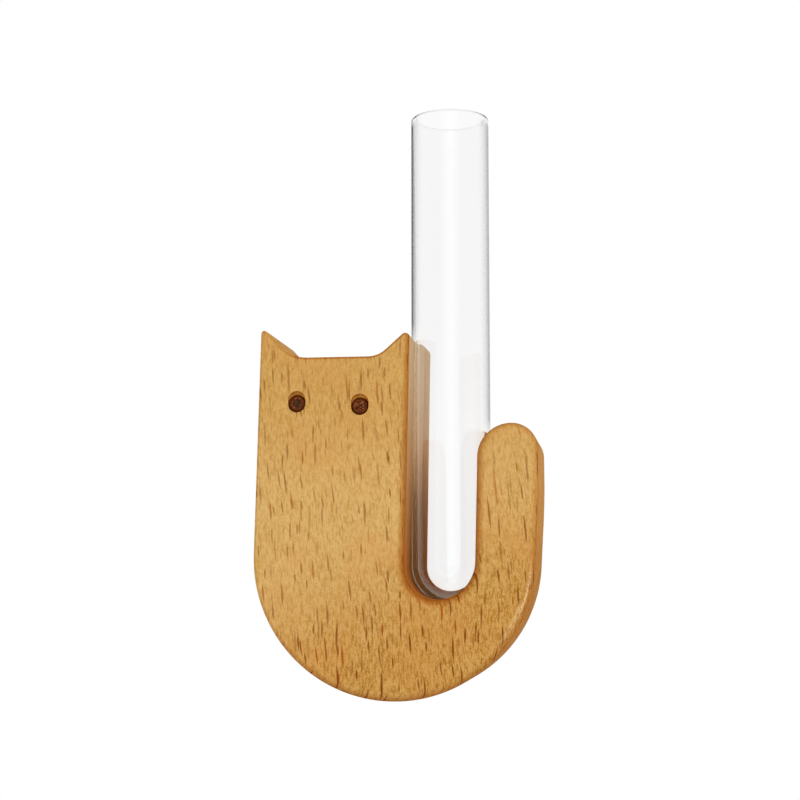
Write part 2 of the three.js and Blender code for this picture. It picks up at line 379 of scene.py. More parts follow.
# Marks for the finish. roundOver runs from 0 on the flat front and back to 1 on the side, as the angle
# a = acos(1 - depth / edge) of the nearest outline point's edge, over a quarter turn. inSlot is 1 on the
# slot's floor and walls, and softEdge runs from 0 beside the crispest edges to 1 beside the roundest.
def markBlock(mesh, block, hollow, outline, edge):
    places = pointsOf(mesh)
    flat = places[:, [0, 2]] + [0, block["mountHeight"]]
    apart = ((flat[:, None] - outline[None]) ** 2).sum(-1)
    nearest = apart.argmin(1)
    depth = np.minimum(places[:, 1] + block["thickness"], -places[:, 1])
    roundOver = np.arccos(np.clip(1 - depth / edge[nearest], 0, 1)) / (np.pi / 2)
    x, height = outline[nearest].T
    lowX, highX = block["slotReach"]
    inSlot = (x > lowX) & (x < highX) & (height > block["slot"]["floorHeight"] - block["slotBelow"])
    inSlot = inSlot * np.clip(roundOver / block["slotFade"], 0, 1)
    softness = (edge[nearest] - block["crispEdge"]) / (block["softEdge"] - block["crispEdge"])
    addMarks(mesh, {"roundOver": roundOver, "inSlot": inSlot, "softEdge": softness})
    addMarks(mesh, {"inPocket": pocketMark(places, hollow)})
    addMarks(mesh, {"bored": boredMark(mesh, places, hollow)}, "FACE")


# True below the front inside the eyes' holes and pockets
def pocketMark(places, hollow):
    inside = np.zeros(len(places), bool)
    below = places[:, 1] - blockLow.y / mm
    around = hollow["eyeClearance"] + hollow["eyePocketLift"] + hollow["eyeMarkMargin"]
    for eye in eyes:
        middle, size = nodeBox(eye)
        fromMiddle = np.hypot(places[:, 0] - middle[0], places[:, 2] - middle[2])
        inside |= (fromMiddle < size[0] / 2 + around) & (below < 2 * size[1])
    return inside & (below > hollow["eyeMarkDepth"])


# 1 for the faces all of whose corners lie on the tube's bore
def boredMark(mesh, places, hollow):
    middle, radius, ballHeight = boreShape(hollow)
    axis = np.tile(middle, (len(places), 1))
    axis[:, 2] = np.maximum(places[:, 2], ballHeight)
    onBore = np.linalg.norm(places - axis, axis=1) < radius + hollow["boreTolerance"]
    corners = np.zeros(len(mesh.loops), np.int32)
    mesh.loops.foreach_get("vertex_index", corners)
    starts = np.zeros(len(mesh.polygons), np.int32)
    mesh.polygons.foreach_get("loop_start", starts)
    return np.minimum.reduceat(onBore[corners].astype(np.float32), starts)


# Front and back are left flat, the rest is smooth up to the crisp angle
def shadeBlock(mesh, block):
    shadeSmooth(mesh, block["crispAngle"])
    normals = np.zeros(len(mesh.polygons) * 3, np.float32)
    mesh.polygons.foreach_get("normal", normals)
    mesh.polygons.foreach_set("use_smooth", np.abs(normals[1::3]) < block["flatNormal"])


def makeBlock(block, hollow):
    outline, normal, edge = roundedOutline(catCorners(block), block)
    piece = roundedBlock("beechBlock", block, outline, normal, edge)
    cutHollows(piece, makeCutters(hollow))
    markBlock(piece.data, block, hollow, outline, edge)
    shadeBlock(piece.data, block)
    return piece


beechBlock = makeBlock(catBlock, hollows)
print("beech block:", len(beechBlock.data.polygons), "faces")


# The test tube: ball end, straight wall, rim melted to a half round
testTube = {
    "wall": 1.1,
    "turns": 160,
    "ballSteps": 40,
    "wallRows": 60,
    "rimSteps": 14,
    "tailTop": 20.5,  # height of the tail beside the tube
    "sideBlend": 8,  # width over which the wood's height passes from the head's to the tail's
    "fadeLength": 4,  # height over which the marks pass from beside the wood to free
    "rimFade": 1,  # and from the outer wall to the rim
}


def makeTube(tube):
    middle, size = nodeBox("glass_tube")
    outer = size[0] / 2
    inner = outer - tube["wall"]
    rim = tube["wall"] / 2
    ballHeight = middle[2] - size[2] / 2 + outer
    topHeight = size[2] - outer - rim
    wall = np.linspace(0, topHeight, tube["wallRows"] + 1)[1:-1]
    profile = np.concatenate(
        [
            arcProfile(0, 0, outer, -90, 0, tube["ballSteps"]),
            np.column_stack([np.full(len(wall), outer), wall]),
            arcProfile(outer - rim, topHeight, rim, 0, 180, tube["rimSteps"]),
            np.column_stack([np.full(len(wall), inner), wall[::-1]]),
            arcProfile(0, 0, inner, 0, -90, tube["ballSteps"]),
        ]
    )
    centre = (middle[0], middle[1], ballHeight)
    piece = turnedSurface("testTube", profile, tube["turns"], centre, (0, 0, 1))
    piece.data.shade_smooth()
    outerRings = tube["ballSteps"] + len(wall)
    onOuterRing = np.arange(1, len(profile) - 1) <= outerRings
    onOuterWall = np.append(np.repeat(onOuterRing, tube["turns"]), [True, False])
    markOpenWall(piece.data, tube, onOuterWall, middle[0])
    return piece


# The mark "open" is 1 where the tube stands free and 0 beside the wood, which reaches up to the head's height
# on the left and to the tail's on the right. "openWall" is the same on the outer wall below the rim alone.
def markOpenWall(mesh, tube, onOuterWall, axisX):
    x, _, z = pointsOf(mesh).T
    towardsTail = np.clip((x - axisX) / tube["sideBlend"] + 0.5, 0, 1)
    woodTop = blockHigh.z / mm + towardsTail * (tube["tailTop"] - blockHigh.z / mm)
    free = np.clip((z - woodTop) / tube["fadeLength"] + 0.5, 0, 1)
    belowRim = np.clip((z.max() - z) / tube["rimFade"] - 0.5, 0, 1)
    addMarks(mesh, {"open": free, "openWall": free * onOuterWall * belowRim})


glassPiece = makeTube(testTube)
print("test tube:", len(glassPiece.data.polygons), "faces")


# Plugs and magnets: discs whose face is a shallow dome inside a rounded rim
eyePlug = {"edge": 0.22, "dome": 0.06, "turns": 96, "faceRings": 16, "edgeSteps": 8, "crispAngle": 40}
discMagnet = {"edge": 0.3, "dome": 0.0, "turns": 160, "faceRings": 10, "edgeSteps": 8, "crispAngle": 40}


# Profile from the foot up: foot, its edge, the face's edge and the face, raised by dome (1 - (r / R)^2).
# The mark "fromMiddle" is a point's distance from the middle as a share of the radius.
def makeDisc(name, node, disc, along):
    middle, size = nodeBox(node)
    radius, half = size[0] / 2, size[1] / 2
    edge, dome = disc["edge"], disc["dome"]
    inner = radius - edge
    rings = np.linspace(1, 0, disc["faceRings"] + 1)[1:]
    profile = np.concatenate(
        [
            [[0, -half], [inner / 2, -half]],
            arcProfile(inner, edge - half, edge, -90, 0, disc["edgeSteps"]),
            arcProfile(inner, half - dome - edge, edge, 0, 90, disc["edgeSteps"]),
            np.column_stack([inner * rings, half - dome + dome * (1 - rings**2)]),
        ]
    )
    piece = turnedSurface(name, profile, disc["turns"], middle, along)
    share = np.append(np.repeat(profile[1:-1, 0], disc["turns"]), [0, 0]) / radius
    addMarks(piece.data, {"fromMiddle": share})
    shadeSmooth(piece.data, disc["crispAngle"])
    return piece


eyePieces = {eye: makeDisc(eye + "Plug", eye, eyePlug, (0, -1, 0)) for eye in eyes}
magnetPieces = {magnet: makeDisc(magnet + "Disc", magnet, discMagnet, (0, 1, 0)) for magnet in magnets}
print("eye plugs and magnets made")


# Colours are written as they look (sRGB, 0 to 255) and turned to linear light here
def colour(looks):
    share = np.array(looks) / 255
    linear = np.where(share <= 0.04045, share / 12.92, ((share + 0.055) / 1.055) ** 2.4)
    return (*linear.tolist(), 1.0)


# Gives a socket its value: a number, a colour or another socket to link from
def feed(socket, value):
    if isinstance(value, bpy.types.NodeSocket):
        socket.id_data.links.new(value, socket)
    else:
        socket.default_value = value


# Adds a shader node with its inputs and settings, and gives its outputs
def addNode(tree, kind, inputs=None, **settings):
    made = tree.nodes.new("ShaderNode" + kind)
    for name, value in settings.items():
        setattr(made, name, value)
    for name, value in (inputs or {}).items():
        feed(made.inputs[name], value)
    return made.outputs


# The node tree of the first socket among some values
def treeOf(values):
    return next(value.id_data for value in values if isinstance(value, bpy.types.NodeSocket))


# One step of arithmetic on numbers and sockets
def calc(operation, first, second=0.0, clamp=False):
    inputs = {0: first, 1: second}
    return addNode(treeOf((first, second)), "Math", inputs, operation=operation, use_clamp=clamp)[0]


def plus(first, second):
    return calc("ADD", first, second)


def minus(first, second):
    return calc("SUBTRACT", first, second)


def ratio(first, second, clamp=False):
    return calc("DIVIDE", first, second, clamp)


def times(first, *factors):
    for factor in factors:
        first = calc("MULTIPLY", first, factor)
    return first


# One step of arithmetic on places
def calcPlace(operation, *inputs):
    return addNode(treeOf(inputs), "VectorMath", dict(enumerate(inputs)), operation=operation)


# Takes a share from 0 to 1 to a number from first to last
def ramp(share, first, last):
    return plus(first, times(share, last - first))


# Takes value softly from between low and high to between first and last
def fade(value, low, high, first=0.0, last=1.0):
    inputs = {"Value": value, "From Min": low, "From Max": high, "To Min": first, "To Max": last}
    return addNode(value.id_data, "MapRange", inputs, interpolation_type="SMOOTHSTEP")[0]


# 1 where two fades of the same value are both 1
def window(value, spans):
    return times(fade(value, *spans[0]), fade(value, *spans[1]))


# Mixes two colours, or multiplies the first by the second. Each is a socket or a triple as it looks.
def blend(amount, first, second, mode="MIX"):
    first, second = (colour(value) if isinstance(value, tuple) else value for value in (first, second))
    inputs = {0: amount, 6: first, 7: second}  # the sockets of a mix of colours
    return addNode(amount.id_data, "Mix", inputs, data_type="RGBA", blend_type=mode)[2]


# Across, inwards and up, which are x, y and z
def axes(place):
    return addNode(place.id_data, "SeparateXYZ", {0: place})


def noise(place, settings):
    return addNode(place.id_data, "TexNoise", {"Vector": place, **settings})


def mark(tree, name):
    return addNode(tree, "Attribute", attribute_name=name)["Fac"]


# A node group. Takes has each input's usual value, or None for the place, and gives the names of its outputs.
def newGroup(name, takes, gives):
    group = bpy.data.node_groups.new(name, "ShaderNodeTree")
    for label, usual in takes.items():
        kind = "NodeSocketVector" if usual is None else "NodeSocketFloat"
        socket = group.interface.new_socket(label, in_out="INPUT", socket_type=kind)
        if usual is not None:
            socket.default_value = usual
    for label in gives:
        group.interface.new_socket(label, in_out="OUTPUT", socket_type="NodeSocketFloat")
    return group, group.nodes.new("NodeGroupInput").outputs, group.nodes.new("NodeGroupOutput").inputs


def useGroup(group, place, settings):
    return addNode(place.id_data, "Group", {"Place": place, **settings}, node_tree=group)


# Rays of the wood: thin pointed lenses, one about the point of each cell of a flat cell pattern, their length
# and darkness drawn from the cell's random colour. They run straight in along the grain's y. Across and Along
# are the cell's size in millimetres, Width and Length the largest ray's, Shortest the shortest one's share of
# that length, and Share the share of the cells that have a ray. A ray is where
# 1 - |sideways| / (Width / 2) - (lengthwise / (Length / 2))^2 is above 0.
rays = {
    "usual": {
        "Place": None, "Across": 1.6, "Along": 7.0, "Width": 0.34, "Length": 4.6,
        "Shortest": 0.4, "Softness": 0.5, "Share": 0.5,
    },
    "stagger": 0.618,  # shift of each column of cells beyond the last, in cells, so that no rows show
    "onset": (-0.1, 0.4),  # a cell's random number less the bare share, for no ray and for a full one
}


def rayGroup(ray):
    group, given, result = newGroup("woodRays", ray["usual"], ["Mask", "Random"])
    x, _, z = axes(given["Place"])
    across, along = ratio(x, given["Across"]), ratio(z, given["Along"])
    along = plus(along, times(across, ray["stagger"]))
    place = addNode(group, "CombineXYZ", {"X": across, "Y": along})[0]
    cells = addNode(group, "TexVoronoi", {"Vector": place, "Scale": 1.0}, voronoi_dimensions="2D")
    sizes, bareness, spare = addNode(group, "SeparateColor", {"Color": cells["Color"]})
    offset = calcPlace("SUBTRACT", place, cells["Position"])[0]
    aside, ahead, _ = axes(offset)
    ahead = minus(ahead, times(aside, ray["stagger"]))
    halfWidth = times(ratio(given["Width"], given["Across"]), 0.5)
    halfLength = times(ratio(given["Length"], given["Along"]), 0.5)
    size = plus(given["Shortest"], times(minus(1.0, given["Shortest"]), sizes))
    sideways = calc("ABSOLUTE", ratio(aside, halfWidth))
    lengthwise = ratio(ahead, times(halfLength, size))
    outward = plus(sideways, times(lengthwise, lengthwise))
    soft = ratio(minus(1.0, outward), given["Softness"], clamp=True)
    bare = minus(1.0, given["Share"])
    strength = fade(bareness, *(plus(bare, end) for end in ray["onset"]))
    feed(result["Mask"], times(soft, strength))
    feed(result["Random"], spare)
    return group


# Fibres: noise stretched along the grain, given as a tone about one half
def fibreGroup():
    takes = {"Place": None, "Fineness": 2.4, "Stretch": 6.0, "Detail": 3.0}
    group, given, result = newGroup("woodFibres", takes, ["Tone"])
    lengthwise = ratio(given["Fineness"], given["Stretch"])
    scale = addNode(group, "CombineXYZ", {"X": given["Fineness"], "Y": lengthwise, "Z": lengthwise})[0]
    place = calcPlace("MULTIPLY", given["Place"], scale)[0]
    feed(result["Tone"], noise(place, {"Scale": 1.0, "Detail": given["Detail"], "Roughness": 0.6})[0])
    return group


# Handling: cloudy smears and fine scratches. The scratches are the peaks of a noise that is turned out of
# the axes and stretched one way.
handling = {
    "clouds": {"Detail": 4.0},
    "scratches": {"Detail": 1.0},
    "scratchWay": {"Rotation": (0.4, 0.9, 0.3), "Scale": (1, 0.06, 1)},
    "scratchPeaks": (0.62, 0.72),
}


def handledGroup(marks):
    takes = {"Place": None, "Cloud Size": 8.0, "Scratch Size": 0.25}
    group, given, result = newGroup("handledSurface", takes, ["Clouds", "Scratches"])
    clouds = noise(given["Place"], {"Scale": ratio(1.0, given["Cloud Size"]), **marks["clouds"]})[0]
    turned = addNode(group, "Mapping", {"Vector": given["Place"], **marks["scratchWay"]})[0]
    streaks = noise(turned, {"Scale": ratio(1.0, given["Scratch Size"]), **marks["scratches"]})[0]
    feed(result["Clouds"], clouds)
    feed(result["Scratches"], fade(streaks, *marks["scratchPeaks"]))
    return group


woodRays = rayGroup(rays)
woodFibres = fibreGroup()
handledSurface = handledGroup(handling)


def finish(pieces, material):
    for piece in pieces:
        piece.data.materials.append(material)


# A new material, its node tree, its surface shader and the place in millimetres (object coordinates)
def newMaterial(name):
    material = bpy.data.materials.new(name)
    material.use_nodes = True
    tree = material.node_tree
    place = addNode(tree, "TexCoord")["Object"]
    scaled = addNode(tree, "VectorMath", {0: place, "Scale": 1 / mm}, operation="SCALE")[0]
    return material, tree, tree.nodes["Principled BSDF"], scaled


# Gives the surface its colour, roughness, relief and constant numbers
def finishSurface(shader, base, rough, height, looks):
    relief = {"Strength": looks["relief"], "Distance": looks["reliefDepth"] * mm}
    bump = addNode(height.id_data, "Bump", {"Height": height, **relief})[0]
    inputs = {"Base Color": base, "Roughness": rough, "Normal": bump, **looks["constants"]}
    for name, value in inputs.items():
        feed(shader.inputs[name], value)


# A span is a value's two ends, where something starts and where it is full, and then how much of it there
# is at each end, if not 0 and 1
beech = {
    "light": (209, 170, 107),
    "dark": (189, 146, 76),
    # The dark tone is darker still towards the lower right, which is painted shade
    "lowerRightShadedDark": (170, 123, 44),
    "toneSpan": (0.36, 0.6),  # from the dark to the light tone
    "pink": (205, 150, 86),
    "pinkSpan": (0.35, 0.75, 0.0, 0.4),
    "ray": (128, 68, 0),
    "redRay": (164, 82, 12),
    "redSpan": (0.6, 1.0),
    "rayStrength": (0.6, 0.96),  # at the upper left and at the lower right
    "smallRayShare": 0.5,
    "lean": 4.0,  # degrees that the grain leans to the left going up
    "rayTurn": 38.0,  # degrees that the rays run to the left going back
    "warp": {"Scale": 0.06, "Detail": 1.0},  # the slow noise that bends the grain, and how far
    "warpReach": (1.8, 0, 3),
    "fibres": {"Fineness": 2.9, "Stretch": 3.6, "Detail": 2.0},
    "pores": {"Fineness": 6.0, "Stretch": 2.0, "Detail": 1.0},
    "fibreShare": 0.6,  # of the tone, the rest is the pores'
    "clouds": {"Scale": 0.1, "Detail": 2.0},
    "boldRays": {"Across": 1.3, "Along": 9.5, "Width": 0.42, "Length": 7.0, "Share": 0.65},
    "moreRays": {"Across": 0.9, "Along": 6.5, "Width": 0.34, "Length": 5.0, "Share": 0.5},
    "smallRays": {"Across": 0.6, "Along": 3.6, "Width": 0.32, "Length": 3.0, "Softness": 0.8, "Share": 0.6},
    "lowerRightShade": (244, 230, 204),  # painted shade: what the wood is multiplied by towards the lower right, where less light falls
    "lowerRightShadeWay": (0.4, 0, -0.9),
    "lowerRightShadeSpan": (1.0, 29.0),
    "crown": (246, 239, 224),  # and towards the top of the head
    "crownSpan": (6.0, 26.0),
    "depthSpan": (38.0, -12.0),  # heights from the ear's tip down to the slot's foot
    "roughness": (0.42, 0.58),  # of the dark and of the light tone
    "sideRougher": (0.3, 1.0, 0.0, 0.45),
    "constants": {"Specular IOR Level": 0.06},
    "toneRelief": 0.4,  # as a share of the rays' relief
    "relief": 0.3,
    "reliefDepth": 0.05,
}

# Painted shade on the rounded edges and sides: what they are multiplied by, and where. Edge spans are of the
# mark roundOver.
beechSideShade = {
    "tone": (220, 184, 130),
    "softSpan": (0.05, 1.0),  # beside the roundest edges it grows all the way to the side
    "flatSideSpan": (0.85, 1.0, 1.0, 0.55),  # and is weaker again on the side itself
    "crispSpans": ((0.0, 0.3), (1.0, 0.7)),  # beside the crispest edges it is on the edge alone
    "leftSpan": (-13.0, -4.0, 0.35, 1.0),  # the left of the cat, where the light comes from, takes less of it
}

# A painted highlight: a pale line along the front edge at the lower right, and a soft patch at its foot
beechGlint = {
    "tone": (240, 208, 158),
    "line": {"edge": ((0.24, 0.38), (0.5, 0.4)), "height": ((-4.5, -11.0), (-17.0, -14.0)), "share": 0.65},
    "patch": {"edge": ((0.0, 0.15), (0.55, 0.2)), "height": ((-12.0, -16.0), (-24.0, -18.0)), "share": 0.3},
    "speckles": (0.3, 0.55),
    "rightSpan": (29.5, 31.0),
    "frontSpan": (-20.0, -24.0),
}

# The slot, the eyes' pockets and the tube's bore. Tops are at the ear's height, feet at the slot's foot.
beechHollows = {
    "slotShadeTone": (232, 206, 172),  # painted shade: what the slot's rounded edges are multiplied by, most of all at its foot, where less light reaches
    "slotTopShare": 0.25,
    "pocketTone": (255, 228, 176),  # what the eyes' pockets are multiplied by
    # The slot's walls: pale at the top as painted light, dark brown at the foot as painted shade
    "wallTop": (210, 180, 142),
    "wallFoot": (186, 114, 50),
    "wallSpan": (0.8, 1.0, 0.0, 0.75),
    "bareTop": (240, 206, 162),  # the bore's wood, darker towards its foot as painted shade
    "bareFoot": (216, 142, 72),
    "bareShare": 0.85,
    # Painted light: the bore's floor is paler, so that it shows lighter through the glass's ball end
    "bareFloor": (248, 212, 162),
    "floorSpan": (-10.5, -13.5),
    "seatTop": (255, 228, 192),  # painted light: the front half of the bore is paler, where less light reaches it
    "seatFoot": (255, 202, 130),
    "seatSpan": (-11.5, -12.8),
}


# The place in the grain, turned to its lean and the rays' run, and shifted by a slow noise
def bentGrain(tree, place, wood):
    turn = (0, math.radians(wood["lean"]), -math.radians(wood["rayTurn"]))
    grain = addNode(tree, "Mapping", {"Vector": place, "Rotation": turn})[0]
    warp = noise(grain, wood["warp"])["Color"]
    shift = calcPlace("SUBTRACT", warp, (0.5, 0.5, 0.5))[0]
    return calcPlace("MULTIPLY_ADD", shift, wood["warpReach"], grain)[0]


# The sawn wood, with painted shade deepening it towards the lower right, and paler towards the crown. Gives
# its colour, its tone, the pores' part of that and the bold rays' mask.
def beechFigure(tree, place, height, wood):
    grain = bentGrain(tree, place, wood)
    lower = fade(calcPlace("DOT_PRODUCT", place, wood["lowerRightShadeWay"])["Value"], *wood["lowerRightShadeSpan"])
    fibres = useGroup(woodFibres, grain, wood["fibres"])["Tone"]
    pores = useGroup(woodFibres, grain, wood["pores"])["Tone"]
    clouds = noise(grain, wood["clouds"])[0]
    bold, more, small = (useGroup(woodRays, grain, wood[size + "Rays"]) for size in ("bold", "more", "small"))
    tone = plus(times(fibres, wood["fibreShare"]), times(pores, 1 - wood["fibreShare"]))
    # Painted shade: the dark tone darkens towards the lower right
    darkest = blend(lower, wood["dark"], wood["lowerRightShadedDark"])
    base = blend(fade(tone, *wood["toneSpan"]), darkest, wood["light"])
    base = blend(fade(clouds, *wood["pinkSpan"]), base, wood["pink"])
    strength = ramp(lower, *wood["rayStrength"])
    reddish = blend(fade(bold["Random"], *wood["redSpan"]), wood["ray"], wood["redRay"])
    base = blend(times(small["Mask"], strength, wood["smallRayShare"]), base, wood["ray"])
    base = blend(times(more["Mask"], strength), base, wood["ray"])
    base = blend(times(bold["Mask"], strength), base, reddish)
    # Painted shade towards the lower right
    base = blend(lower, base, wood["lowerRightShade"], "MULTIPLY")
    base = blend(fade(height, *wood["crownSpan"]), base, wood["crown"], "MULTIPLY")
    return base, tone, pores, bold["Mask"]


# How much of the painted shade on the rounded edges and sides shows
def sideShadeShare(tree, roundOver, across, sides):
    softEdge = mark(tree, "softEdge")
    onSide = fade(roundOver, *sides["flatSideSpan"])
    soft = times(fade(roundOver, *sides["softSpan"]), softEdge, onSide)
    crisp = times(window(roundOver, sides["crispSpans"]), minus(1.0, softEdge))
    return times(plus(soft, crisp), fade(across, *sides["leftSpan"]))


# How much of the painted highlight shows, a little broken up by the pores
def glintShare(roundOver, place, pores, glint):
    across, inwards, height = place
    line, patch = (
        times(window(roundOver, part["edge"]), window(height, part["height"]), part["share"])
        for part in (glint["line"], glint["patch"])
    )
    worn = times(plus(line, patch), fade(pores, *glint["speckles"]))
    return times(worn, fade(across, *glint["rightSpan"]), fade(inwards, *glint["frontSpan"]))


def toneHollows(tree, base, roundOver, place, depth, hollow):
    _, inwards, height = place
    inSlot = mark(tree, "inSlot")
    # Painted shade in the slot, strongest at its foot
    base = blend(times(inSlot, ramp(depth, hollow["slotTopShare"], 1)), base, hollow["slotShadeTone"], "MULTIPLY")
    base = blend(mark(tree, "inPocket"), base, hollow["pocketTone"], "MULTIPLY")
    wall, bare, seat = (
        blend(depth, hollow[name + "Top"], hollow[name + "Foot"]) for name in ("wall", "bare", "seat")
    )
    # The slot's walls, with painted light at the top and painted shade at the foot
    base = blend(times(inSlot, fade(roundOver, *hollow["wallSpan"])), base, wall)
    # Painted light on the bore's front half and floor, painted shade towards its foot
    bare = blend(fade(inwards, *hollow["seatSpan"]), bare, seat)
    bare = blend(fade(height, *hollow["floorSpan"]), bare, hollow["bareFloor"])
    return blend(times(mark(tree, "bored"), hollow["bareShare"]), base, bare)


def beechMaterial(wood, sides, glint, hollow):
    material, tree, shader, place = newMaterial("oiledBeech")
    parted = axes(place)
    across, _, height = parted
    roundOver = mark(tree, "roundOver")
    base, tone, pores, boldRays = beechFigure(tree, place, height, wood)
    # Painted shade on the rounded edges and sides
    base = blend(sideShadeShare(tree, roundOver, across, sides), base, sides["tone"], "MULTIPLY")
    # Painted highlight on the front edge at the lower right
    base = blend(glintShare(roundOver, parted, pores, glint), base, glint["tone"])
    depth = fade(height, *wood["depthSpan"])
    base = toneHollows(tree, base, roundOver, parted, depth, hollow)

    rough = plus(ramp(tone, *wood["roughness"]), fade(roundOver, *wood["sideRougher"]))
    finishSurface(shader, base, rough, minus(times(tone, wood["toneRelief"]), boldRays), wood)
    return material


finish([beechBlock], beechMaterial(beech, beechSideShade, beechGlint, beechHollows))
print("beech finished")


# End grain. The spans of flecks, grey, ring and rim are shares of the radius, but greyAcross isn't.
walnut = {
    "light": (104, 54, 24),
    "dark": (60, 24, 8),
    "toneSpan": (0.35, 0.65),
    "fibres": {"Fineness": 1.6, "Stretch": 1.0, "Detail": 3.0},
    "pore": (34, 12, 4),
    "pores": {"Across": 0.4, "Along": 0.45, "Width": 0.3, "Length": 0.34},
    "fleck": (160, 100, 66),
    "flecks": {"Across": 0.52, "Along": 0.5, "Width": 0.5, "Length": 0.46, "Share": 0.7},
    "fleckSpan": (0.8, 0.6),
    "fleckShare": 0.9,
    "grey": (48, 36, 18),  # the middle of the left eye
    "greySpan": (0.7, 0.35, 0.0, 0.7),
    "greyAcross": (1.0, -3.0),
    "ring": (108, 46, 8),
    "ringSpan": (0.5, 0.75, 0.0, 0.4),
    "rim": (74, 26, 2),
    "rimSpan": (0.72, 1.0),
    "roughness": (0.5, 0.7),  # of the dark and of the light tone
    "constants": {"Specular IOR Level": 0.05},
    "relief": 0.5,
    "reliefDepth": 0.08,
}


def walnutMaterial(wood):
    material, tree, shader, place = newMaterial("walnutEndGrain")
    fibres = useGroup(woodFibres, place, wood["fibres"])["Tone"]
    pores = useGroup(woodRays, place, wood["pores"])["Mask"]
    flecks = useGroup(woodRays, place, wood["flecks"])["Mask"]
    fromMiddle, across = mark(tree, "fromMiddle"), axes(place)["X"]

    base = blend(fade(fibres, *wood["toneSpan"]), wood["dark"], wood["light"])
    base = blend(pores, base, wood["pore"])
    greyed = times(fade(fromMiddle, *wood["greySpan"]), fade(across, *wood["greyAcross"]))
    base = blend(greyed, base, wood["grey"])
    base = blend(fade(fromMiddle, *wood["ringSpan"]), base, wood["ring"])
    flecked = times(flecks, fade(fromMiddle, *wood["fleckSpan"]), minus(wood["fleckShare"], greyed))
    base = blend(flecked, base, wood["fleck"])
    base = blend(fade(fromMiddle, *wood["rimSpan"]), base, wood["rim"])

    finishSurface(shader, base, ramp(fibres, *wood["roughness"]), minus(fibres, pores), wood)
    return material


finish(eyePieces.values(), walnutMaterial(walnut))
print("eyes finished")


nickel = {
    "bright": (214, 212, 206),
    "worn": (176, 166, 150),
    "wornSpan": (0.35, 0.75),
    "rimSpan": (0.93, 1.0),
    "marks": {"Cloud Size": 3.0, "Scratch Size": 0.2},
    "roughness": 0.22,
    "scratchRougher": 0.2,
    "cloudRougher": 0.12,
    "constants": {"Metallic": 1.0},
    "relief": 0.15,
    "reliefDepth": 0.02,
}


def nickelMaterial(metal):
    material, tree, shader, place = newMaterial("nickelPlate")
    clouds, scratches = useGroup(handledSurface, place, metal["marks"])
    base = blend(fade(clouds, *metal["wornSpan"]), metal["bright"], metal["worn"])
    base = blend(fade(mark(tree, "fromMiddle"), *metal["rimSpan"]), base, metal["worn"])
    rough = plus(metal["roughness"], times(scratches, metal["scratchRougher"]))
    rough = plus(rough, times(clouds, metal["cloudRougher"]))
    finishSurface(shader, base, rough, scratches, metal)
    return material


finish(magnetPieces.values(), nickelMaterial(nickel))
print("magnets finished")


# Painted reflections: seen edge on, the free outer wall is tinted dark as if it mirrored dark surroundings,
# and the wall beside the wood is tinted with the colour of the wood it would mirror. Facing spans run from 0
# face on to 1 edge on.
glass = {
    "clear": (250, 250, 250),
    "paintedLightLow": (254.6, 254.6, 254.6),  # painted light: the lower part of the tube, but for its middle, is tinted clearer, as it would look darker there
    "lowHeights": (45.0, 5.0),
    "lowFacing": (0.0, 0.09),
    "paintedEdgeDark": (54, 55, 57),
    "edgeFacing": (0.3, 0.85),
    # Painted reflection of the wood beside the tube, darker towards the foot as painted shade
    "mirroredWoodTop": (254, 250, 244),
    "mirroredWoodFoot": (250, 236, 222),
    "besideHeights": (38.0, -12.0),
    "besideFacing": (0.15, 0.5),
    "constants": {"Transmission Weight": 1.0, "IOR": 1.47},
    "marks": {"Cloud Size": 6.0, "Scratch Size": 0.3},
    "smearRoughness": (0.5, 0.8, 0.0, 0.03),
    "relief": 0.05,
    "reliefDepth": 0.05,
}


def glassMaterial(clear):
    material, tree, shader, place = newMaterial("tubeGlass")
    clouds = useGroup(handledSurface, place, clear["marks"])["Clouds"]
    facing = addNode(tree, "LayerWeight", {"Blend": 0.5})["Facing"]
    height = axes(place)["Z"]

    # Painted light: the lower part of the tube is tinted clearer
    low = times(fade(height, *clear["lowHeights"]), fade(facing, *clear["lowFacing"]))
    tint = blend(low, clear["clear"], clear["paintedLightLow"])
    # Painted reflection of the wood beside the tube
    mirroredWoodTint = blend(fade(height, *clear["besideHeights"]), clear["mirroredWoodTop"], clear["mirroredWoodFoot"])
    beside = times(fade(facing, *clear["besideFacing"]), minus(1.0, mark(tree, "open")))
    tint = blend(beside, tint, mirroredWoodTint)
    # Painted dark reflection on the free outer wall, seen edge on
    paintedEdgeDark = times(fade(facing, *clear["edgeFacing"]), mark(tree, "openWall"))
    tint = blend(paintedEdgeDark, tint, clear["paintedEdgeDark"])

    finishSurface(shader, tint, fade(clouds, *clear["smearRoughness"]), clouds, clear)
    return material


finish([glassPiece], glassMaterial(glass))
glassPiece.visible_shadow = False  # clear glass lets the lamps' light through to the wood beside it
print("glass finished")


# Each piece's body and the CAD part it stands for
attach(beechBlock, "holder")
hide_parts("wooden_body")
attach(glassPiece, "tube")
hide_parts("glass_tube")
for node, piece in eyePieces.items():
    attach(piece, "holder")
    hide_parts(node)
for node, piece in magnetPieces.items():
    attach(piece, "holder")
    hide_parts(node)
print("pieces ride on their bodies")


